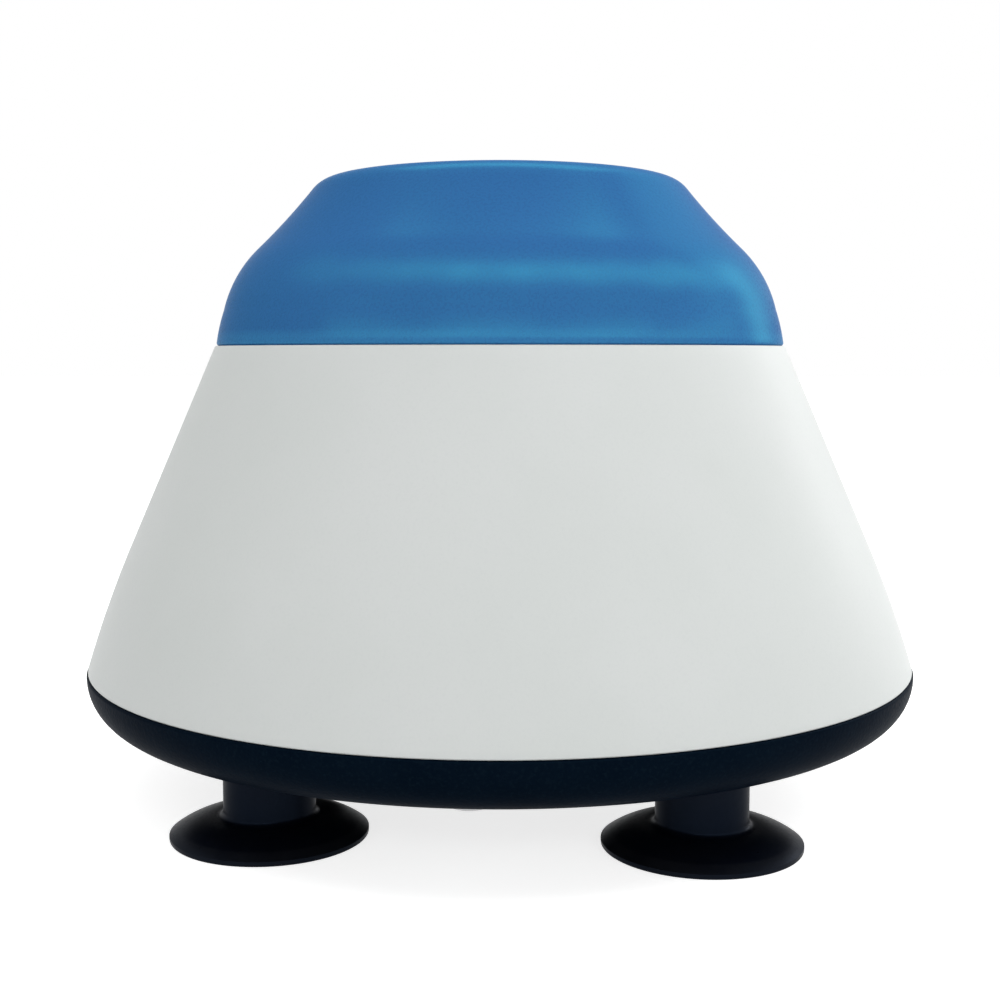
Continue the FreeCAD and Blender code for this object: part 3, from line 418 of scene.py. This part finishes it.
def buildCover(v):
    lip, base, top = v["lipRadius"], junction, v["top"]
    shoulder = (lip - v["shoulder"][0], base + v["shoulder"][1])
    slopeFoot = (lip - v["slopeFoot"][0], base + v["slopeFoot"][1])
    slopeTop = (lip - v["slopeTop"][0], base + v["slopeTop"][1])
    flat = (slopeTop[0] - v["edgeWidth"], top)
    mouth = (v["openingRadius"] + v["openingRound"], top)
    wall = (v["openingRadius"], top - v["openingRound"])
    lipFoot, lipSide = (lip - v["lipRound"], base), (lip - v["lipInset"], base + v["lipRound"])
    outer = [lipFoot, *arcTo(lipFoot, lipSide, v["lipRound"], "left", 4), lipSide]
    outer += arcTo(lipSide, shoulder, v["skirtBow"], "left", 8)
    outer += [shoulder, *arcTo(shoulder, slopeFoot, v["shoulderBow"], "left", 14)]
    outer += [slopeFoot, *arcTo(slopeFoot, slopeTop, v["slopeBow"], "right", 12)]
    outer += [slopeTop, *arcTo(slopeTop, flat, v["edgeBow"], "left", 12)]
    outer += [flat, mouth, *arcTo(mouth, wall, v["openingRound"], "left", 6), wall]
    inner = softened([
        wall,
        (v["openingRadius"], top - v["topWall"]),
        (slopeTop[0] - v["sideWall"], top - v["topWall"]),
        (slopeFoot[0] - v["sideWall"], slopeFoot[1] - v["sideWall"]),
        (v["spigotBore"], shoulder[1]),
        (v["spigotBore"], v["spigotFoot"]),
        (v["spigotRadius"], v["spigotFoot"]),
        (v["spigotRadius"], base),
        lipFoot,
    ], v["innerRound"])
    inner = inner[cornerSteps + 1:-cornerSteps - 1]  # without its two ends, which the outside has
    piece = spinPiece("blueCover", outer + inner, v["steps"])
    smooth(piece)
    return piece


blueCover = buildCover(cover)
dress(blueCover, "blue_cover")
fit(blueCover, "top_cover", "housing")
print("blue cover made")


# White shell: a cone that bends towards upright at the band, with the inlet's recess at the back.
shell = {
    "footRadius": 49.9,
    "kneeRadius": 44.6,
    "knee": 14.5,
    "bow": 131.0,
    "topRadius": 34.4,
    "wall": 2.6,
    "edgeRound": 0.25,
    "padRadius": 7.8,
    "padFace": jackHigh.y - 3.9,
    "seat": jackHigh.y - 1.4,
    "recessRadius": 6.2,
    "holeRadius": 4.1,
    "inletHeight": (jackLow.z + jackHigh.z) / 2,
    "toolLength": 20.0,
    "overcut": 1.0,
    "bowSteps": 20,
    "coneSteps": 12,
    "steps": 192,
}


def buildShell(v):
    foot = (v["footRadius"], trayTop)
    knee = (v["kneeRadius"], trayTop + v["knee"])
    top = (v["topRadius"], junction)
    outer = [foot, *arcTo(foot, knee, v["bow"], "left", v["bowSteps"])]
    outer += [knee, *between(knee, top, v["coneSteps"]), top]
    inner = [(r - v["wall"], z) for r, z in reversed(outer)]
    piece = spinPiece("whiteShell", softened(outer + inner, v["edgeRound"], 3), v["steps"])
    body = spinPiece("shellBlock", [(0, foot[1]), *outer, (0, top[1])], v["steps"], closed=False)
    height, length = v["inletHeight"], v["toolLength"]
    pad = rod(v["padRadius"], length, (0, 0, v["padFace"] + length / 2))
    towardsBack(pad)
    putAt(pad, (0, 0, height))
    combine(pad, body, "INTERSECT")
    combine(piece, pad, "UNION")
    for radius, start in ((v["recessRadius"], v["seat"]), (v["holeRadius"], v["padFace"] - v["overcut"])):
        cutter = rod(radius, length, (0, 0, start + length / 2), 96)
        towardsBack(cutter)
        putAt(cutter, (0, 0, height))
        combine(piece, cutter, "DIFFERENCE")
    smooth(piece)
    return piece


whiteShell = buildShell(shell)
dress(whiteShell, "white_shell")
fit(whiteShell, "housing_shell", "housing")
print("white shell made")


# Base tray: the black band, the lip inside the shell and the floor with its holes.
tray = {
    "radius": trayHigh.x,
    "under": trayLow.z,
    "round": 5.6,
    "lipRadius": 46.0,
    "lipWall": 2.0,
    "floor": 2.5,
    "topRound": 0.3,
    "padInner": 8.3,
    "padOuter": 10.7,
    "padHeight": 0.7,
    "holes": {"feet": 3.1, "posts": 1.4, "bosses": 1.45},
    "holeLength": 12.0,
    "steps": 192,
}


def buildTray(v):
    r, low, top = v["radius"], v["under"], trayTop
    lowEdge, side = (r - v["round"], low), (r, low + v["round"])
    rim, land = (r, top - v["topRound"]), (r - v["topRound"], top)
    floor = low + v["floor"]
    outer = [(0, low), (lowEdge[0] / 2, low), lowEdge, *arcTo(lowEdge, side, v["round"], "left", 14), side, rim]
    outer += [*arcTo(rim, land, v["topRound"], "left", 6), land]
    inner = [
        (v["lipRadius"], top),
        (v["lipRadius"], trayHigh.z),
        (v["lipRadius"] - v["lipWall"], trayHigh.z),
        (v["lipRadius"] - v["lipWall"], floor),
        (v["padOuter"], floor),
        (v["padOuter"], floor + v["padHeight"]),
        (v["padInner"], floor + v["padHeight"]),
        (v["padInner"], floor),
        (0, floor),
    ]
    piece = spinPiece("blackTray", outer + inner, v["steps"], closed=False)
    for ring, radius in v["holes"].items():
        for x, y in ringSpots(*layout[ring]):
            combine(piece, rod(radius, v["holeLength"], (x, y, floor), 48), "DIFFERENCE")
    smooth(piece)
    return piece


blackTray = buildTray(tray)
dress(blackTray, "black_base")
fit(blackTray, "base_tray", "housing")
print("base tray made")


# Suction feet: a hollow sucker on a stout stem, held in the tray by its head.
foot = {
    "radius": 11.0,
    "rimWidth": 1.3,
    "rimHeight": 0.6,
    "height": 2.5,
    "domeBow": 9.0,
    "hollow": 1.3,
    "stem": 5.1,
    "neck": 3.0,
    "head": 4.6,
    "headHeight": 1.0,
    "tip": 2.2,
    "tipHeight": 1.6,
    "fillet": 0.5,
    "filletBow": 0.75,
    "flareDrop": 0.12,
    "rimRound": 0.25,
    "steps": 96,
}


def buildFoot(v):
    under, floor = tray["under"], tray["under"] + tray["floor"]
    bed = v["radius"] - v["rimWidth"]
    hollowBow = (bed ** 2 + v["hollow"] ** 2) / (2 * v["hollow"])
    crown, rimIn = (0, v["hollow"]), (bed, 0)
    rimOut, rimLow = (v["radius"] - v["rimRound"], 0), (v["radius"], v["rimRound"])
    rimTop = (v["radius"], v["rimHeight"])
    flare = (v["stem"] + v["fillet"], v["height"] - v["flareDrop"])
    stemLow = (v["stem"], v["height"] + v["fillet"])
    headTop = floor + v["headHeight"]
    tipTop = floor + v["headHeight"] + v["tipHeight"]
    outline = [crown, *arcTo(crown, rimIn, hollowBow, "right", 14), rimIn, rimOut]
    outline += [*arcTo(rimOut, rimLow, v["rimRound"], "left", 4), rimLow, rimTop]
    outline += [*arcTo(rimTop, flare, v["domeBow"], "left", 16), flare]
    outline += [*arcTo(flare, stemLow, v["filletBow"], "right", 5), stemLow]
    outline += [(v["stem"], under), (v["neck"], under), (v["neck"], floor), (v["head"], floor)]
    outline += [(v["head"], headTop), (v["tip"], tipTop), (0, tipTop)]
    piece = spinPiece("suctionFoot", outline, v["steps"], closed=False)
    smooth(piece)
    dress(piece, "foot_rubber")
    return piece


firstFoot = buildFoot(foot)
for i, spot in enumerate(ringSpots(*layout["feet"]), 1):
    twin = copyOf(firstFoot, f"suctionFoot{i}")
    putAt(twin, (*spot, 0))
    fit(twin, f"suction_foot_{i}", "housing")
bpy.data.objects.remove(firstFoot)
print("suction feet made")


# Rubber cup on the orbiting head, with its conical dish.
cup = {
    "radius": 12.5,
    "foot": 10.2,
    "flank": 3.9,
    "edge": 0.6,
    "rim": 0.7,
    "floorRadius": 2.6,
    "floorRise": 0.5,
    "floorBow": 7.0,
    "web": 1.4,
    "socketRadius": 7.5,
    "socketDepth": 2.6,
    "ribs": (0.22, 0.42, 0.62),
    "ribHeight": 0.3,
    "ribWidth": 0.9,
    "ribShape": ((-0.5, 0), (-0.2, 1), (0.2, 1), (0.5, 0)),  # shares of its width and height
    "edgeRound": 0.25,
    "steps": 128,
}


def buildCup(v):
    low, top = cupLow.z, cupHigh.z
    dish = low + v["socketDepth"] + v["web"]
    floorEdge = (v["floorRadius"], dish + v["floorRise"])
    mouth = (v["radius"] - v["edge"] - v["rim"], top)
    fall = Vector(floorEdge) - Vector(mouth)
    along = fall.normalized()
    proud = Vector((along.y, -along.x)) * v["ribHeight"]
    ribbed = []
    for share in v["ribs"]:
        crest = Vector(mouth) + fall * share
        for step, lift in v["ribShape"]:
            ribbed.append(tuple(crest + along * v["ribWidth"] * step + proud * lift))
    outline = softened([
        (v["socketRadius"], low),
        (v["foot"], low),
        (v["radius"], low + v["flank"]),
        (v["radius"], top - v["edge"]),
        (v["radius"] - v["edge"], top),
        mouth,
        *ribbed,
        floorEdge,
        *arcTo(floorEdge, (0, dish), v["floorBow"], "right", 5),
        (0, dish),
        (0, low + v["socketDepth"]),
        (v["socketRadius"], low + v["socketDepth"]),
    ], v["edgeRound"])
    piece = spinPiece("rubberCup", outline, v["steps"])
    putAt(piece, (headAxis, 0, 0))
    smooth(piece)
    return piece


rubberCup = buildCup(cup)
dress(rubberCup, "cup_rubber")
fit(rubberCup, "tube_cup", "head")
print("rubber cup made")


# Power inlet: a barrel socket whose flange lies in the shell's recess.
inlet = {
    "radius": 4.0,
    "depth": 12.0,
    "flange": 5.7,
    "flangeThick": 1.4,
    "socket": 2.85,
    "backWall": 3.5,
    "pin": 1.05,
    "edgeRound": 0.3,
    "steps": 64,
}


def buildInlet(v):
    front = v["depth"] + v["flangeThick"]
    piece = spinPiece("powerInlet", softened([
        (v["pin"], 0),
        (v["radius"], 0),
        (v["radius"], v["depth"]),
        (v["flange"], v["depth"]),
        (v["flange"], front),
        (v["socket"], front),
        (v["socket"], v["backWall"]),
        (v["pin"], v["backWall"]),
    ], v["edgeRound"]), v["steps"])
    towardsBack(piece)
    putAt(piece, (0, jackLow.y, shell["inletHeight"]))
    smooth(piece)
    return piece


powerInlet = buildInlet(inlet)
dress(powerInlet, "black_plastic")
fit(powerInlet, "dc_jack", "housing")
print("power inlet made")


# Pan-head screws under the tray, with a cross recess.
screw = {
    "headHeight": 1.6,
    "crossLength": 2.6,
    "crossWidth": 0.6,
    "crossDepth": 1.0,
    "flatShare": 0.55,
    "domeShare": 0.62,
    "rimRise": 0.75,
    "steps": 48,
}
screwSets = {
    "base_screws": {"ring": "bosses", "head": 2.8, "shank": 1.3},
    "post_screws": {"ring": "posts", "head": 2.6, "shank": 1.25},
}


def buildScrew(v, head, shank, top):
    under = tray["under"]
    low = under - v["headHeight"]
    dome = (head * v["flatShare"], low)
    rim = (head, low + v["rimRise"])
    outline = [(0, low), dome, *arcTo(dome, rim, head * v["domeShare"], "left", 8), rim]
    outline += [(head, under), (shank, under), (shank, top - shank), (0, top)]
    piece = spinPiece("panScrew", outline, v["steps"], closed=False)
    for turn in (0, math.pi / 2):
        bpy.ops.object.select_all(action="DESELECT")
        bpy.ops.mesh.primitive_cube_add(size=1, location=(0, 0, low * mm), rotation=(0, 0, turn))
        bar = bpy.context.object
        bar.scale = Vector((v["crossLength"], v["crossWidth"], 2 * v["crossDepth"])) * mm
        bpy.ops.object.transform_apply(location=True, rotation=True, scale=True)
        combine(piece, bar, "DIFFERENCE")
    return piece


for node, values in screwSets.items():
    model = buildScrew(screw, values["head"], values["shank"], edges(node)[1].z)
    twins = []
    for i, spot in enumerate(ringSpots(*layout[values["ring"]]), 1):
        twin = copyOf(model, f"{node}{i}")
        putAt(twin, (*spot, 0))
        twins.append(twin)
    bpy.data.objects.remove(model)
    bpy.ops.object.select_all(action="DESELECT")
    for twin in twins:
        twin.select_set(True)
    bpy.context.view_layer.objects.active = twins[0]
    bpy.ops.object.join()
    twins[0].name = "panScrews_" + node
    smooth(twins[0])
    dress(twins[0], "steel")
    fit(twins[0], node, "housing")
print("screws made")


# Return springs round the guide posts, built at one fixed length; on the device they shorten as the head is
# pressed.
spring = {
    "meanRadius": 3.1,
    "wire": 0.45,
    "turns": 5.5,
    "wireSides": 12,
    "stepsPerTurn": 32,
    "travel": 1.5,
    "smoothAngle": 40,
}


def buildSpring(v, name, post, low, high):
    bpy.ops.object.select_all(action="DESELECT")
    start = Vector((v["meanRadius"], 0, low + v["wire"])) * mm
    bpy.ops.mesh.primitive_circle_add(vertices=v["wireSides"], radius=v["wire"] * mm, location=start,
                                      rotation=(math.pi / 2, 0, 0))
    piece = bpy.context.object
    piece.name = name
    piece.data.name = name
    bpy.ops.object.transform_apply(location=True, rotation=True, scale=True)
    coil = piece.modifiers.new("coil", "SCREW")
    coil.angle = math.tau * v["turns"]
    coil.screw_offset = (high - low - 2 * v["wire"]) * mm
    coil.steps = round(v["stepsPerTurn"] * v["turns"])
    coil.render_steps = coil.steps
    bpy.ops.object.modifier_apply(modifier=coil.name)
    bpy.ops.object.mode_set(mode="EDIT")
    bpy.ops.mesh.select_all(action="SELECT")
    bpy.ops.mesh.fill_holes(sides=v["wireSides"])
    bpy.ops.mesh.select_all(action="SELECT")
    bpy.ops.mesh.normals_make_consistent(inside=False)
    bpy.ops.object.mode_set(mode="OBJECT")
    putAt(piece, (*post, 0))
    smooth(piece, v["smoothAngle"])
    return piece


for i in (1, 2, 3):
    springLow, springHigh = edges(f"return_spring_{i}")
    postLow, postHigh = edges(f"guide_post_{i}")
    post = ((postLow.x + postHigh.x) / 2, (postLow.y + postHigh.y) / 2)
    coil = buildSpring(spring, f"returnSpring{i}", post, springLow.z, springHigh.z)
    dress(coil, "spring_steel")
    fit(coil, f"return_spring_{i}", "housing")
    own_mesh(coil)
print("return springs made")


# Floor, light and camera.
studio = {
    "floorSize": 6.0,
    "floorColour": (0.72, 0.72, 0.72),
    "floorRough": 0.9,
    "floorGloss": 0.1,
    "floorGlow": 0.78,
    "worldLight": 0.37,
    "lamps": {  # rows round the object: azimuth from the front, then rise in degrees and power
        "highArc": {"far": 0.60, "size": (0.25, 0.15),
                    "spots": ((-90, 40, 0.09), (-60, 48, 0.15), (-30, 53, 0.22), (0, 54, 0.25), (30, 53, 0.27),
                              (60, 48, 0.28), (90, 40, 0.28), (112, 31, 0.22))},
        "lowArc": {"far": 0.75, "size": (0.56, 0.08),
                   "spots": ((-45, 20, 0.28), (0, 22, 0.46), (45, 20, 0.46), (90, 16, 0.30))},
        "rightSide": {"far": 0.62, "size": (0.32, 0.50), "spots": ((140, 30, 0.54),)},
        "rightRim": {"far": 0.62, "size": (0.16, 0.32), "spots": ((129, 15, 0.50),)},
        "highBack": {"far": 0.70, "size": (0.60, 0.25), "spots": ((180, 68, 1.3),)},
    },
}
view = {
    "lens": 52.2,
    "sensor": 36.0,
    "nearest": 5.0,
    "distance": 179.4,
    "azimuth": 4.4,
    "height": junction - 0.8,
    "pitch": 5.8,
}


def showsWhite(tree):
    # 1 for what the camera sees directly, in a reflection or through glass.
    path = tree.nodes.new("ShaderNodeLightPath")
    seen = path.outputs["Is Camera Ray"]
    for output in ("Is Glossy Ray", "Is Transmission Ray"):
        either = tree.nodes.new("ShaderNodeMath")
        either.operation = "MAXIMUM"
        tree.links.new(seen, either.inputs[0])
        tree.links.new(path.outputs[output], either.inputs[1])
        seen = either.outputs[0]
    return seen


def buildFloor(v):
    bpy.ops.object.select_all(action="DESELECT")
    bpy.ops.mesh.primitive_plane_add(size=v["floorSize"], location=(0, 0, 0))
    floor = bpy.context.object
    floor.name = "floor"
    paint = bpy.data.materials.new("paleFloor")
    paint.use_nodes = True
    tree = paint.node_tree
    shader = tree.nodes["Principled BSDF"]
    shader.inputs["Base Color"].default_value = (*v["floorColour"], 1)
    shader.inputs["Roughness"].default_value = v["floorRough"]
    shader.inputs["Specular IOR Level"].default_value = v["floorGloss"]
    shader.inputs["Emission Color"].default_value = (1, 1, 1, 1)
    glow = tree.nodes.new("ShaderNodeMath")
    glow.operation = "MULTIPLY"
    glow.inputs[1].default_value = v["floorGlow"]
    tree.links.new(showsWhite(tree), glow.inputs[0])
    tree.links.new(glow.outputs[0], shader.inputs["Emission Strength"])
    floor.data.materials.append(paint)


def buildWorld(v):
    world = bpy.context.scene.world or bpy.data.worlds.new("studio")
    bpy.context.scene.world = world
    world.use_nodes = True
    tree = world.node_tree
    sky = tree.nodes["Background"]
    sky.inputs["Color"].default_value = (1, 1, 1, 1)
    level = tree.nodes.new("ShaderNodeMapRange")
    level.inputs["To Min"].default_value = v["worldLight"]
    level.inputs["To Max"].default_value = 1.0
    tree.links.new(showsWhite(tree), level.inputs["Value"])
    tree.links.new(level.outputs["Result"], sky.inputs["Strength"])


def buildLamps(v):
    for name, row in v["lamps"].items():
        for azimuth, height, power in row["spots"]:
            light = bpy.data.lights.new(name, "AREA")
            light.shape = "RECTANGLE"
            light.size, light.size_y = row["size"]
            light.energy = power
            holder = bpy.data.objects.new(name, light)
            bpy.context.scene.collection.objects.link(holder)
            turn, rise = math.radians(azimuth), math.radians(height)
            away = Vector((math.cos(rise) * math.sin(turn), -math.cos(rise) * math.cos(turn), math.sin(rise)))
            holder.location = Vector((0, 0, junction * mm)) + away * row["far"]
            holder.rotation_euler = away.to_track_quat("Z", "Y").to_euler()


def buildCamera(v):
    lens = bpy.data.cameras.new("photoView")
    lens.lens = v["lens"]
    lens.sensor_width = v["sensor"]
    lens.clip_start = v["nearest"] * mm
    camera = bpy.data.objects.new("photoView", lens)
    bpy.context.scene.collection.objects.link(camera)
    turn, tilt = math.radians(v["azimuth"]), math.radians(v["pitch"])
    away = v["distance"]
    camera.location = Vector((math.sin(turn) * away, -math.cos(turn) * away, v["height"])) * mm
    camera.rotation_euler = (math.pi / 2 - tilt, 0, turn)
    bpy.context.scene.camera = camera


buildFloor(studio)
buildWorld(studio)
buildLamps(studio)
buildCamera(view)
bpy.context.scene.view_settings.view_transform = "Standard"
print("studio and camera set")
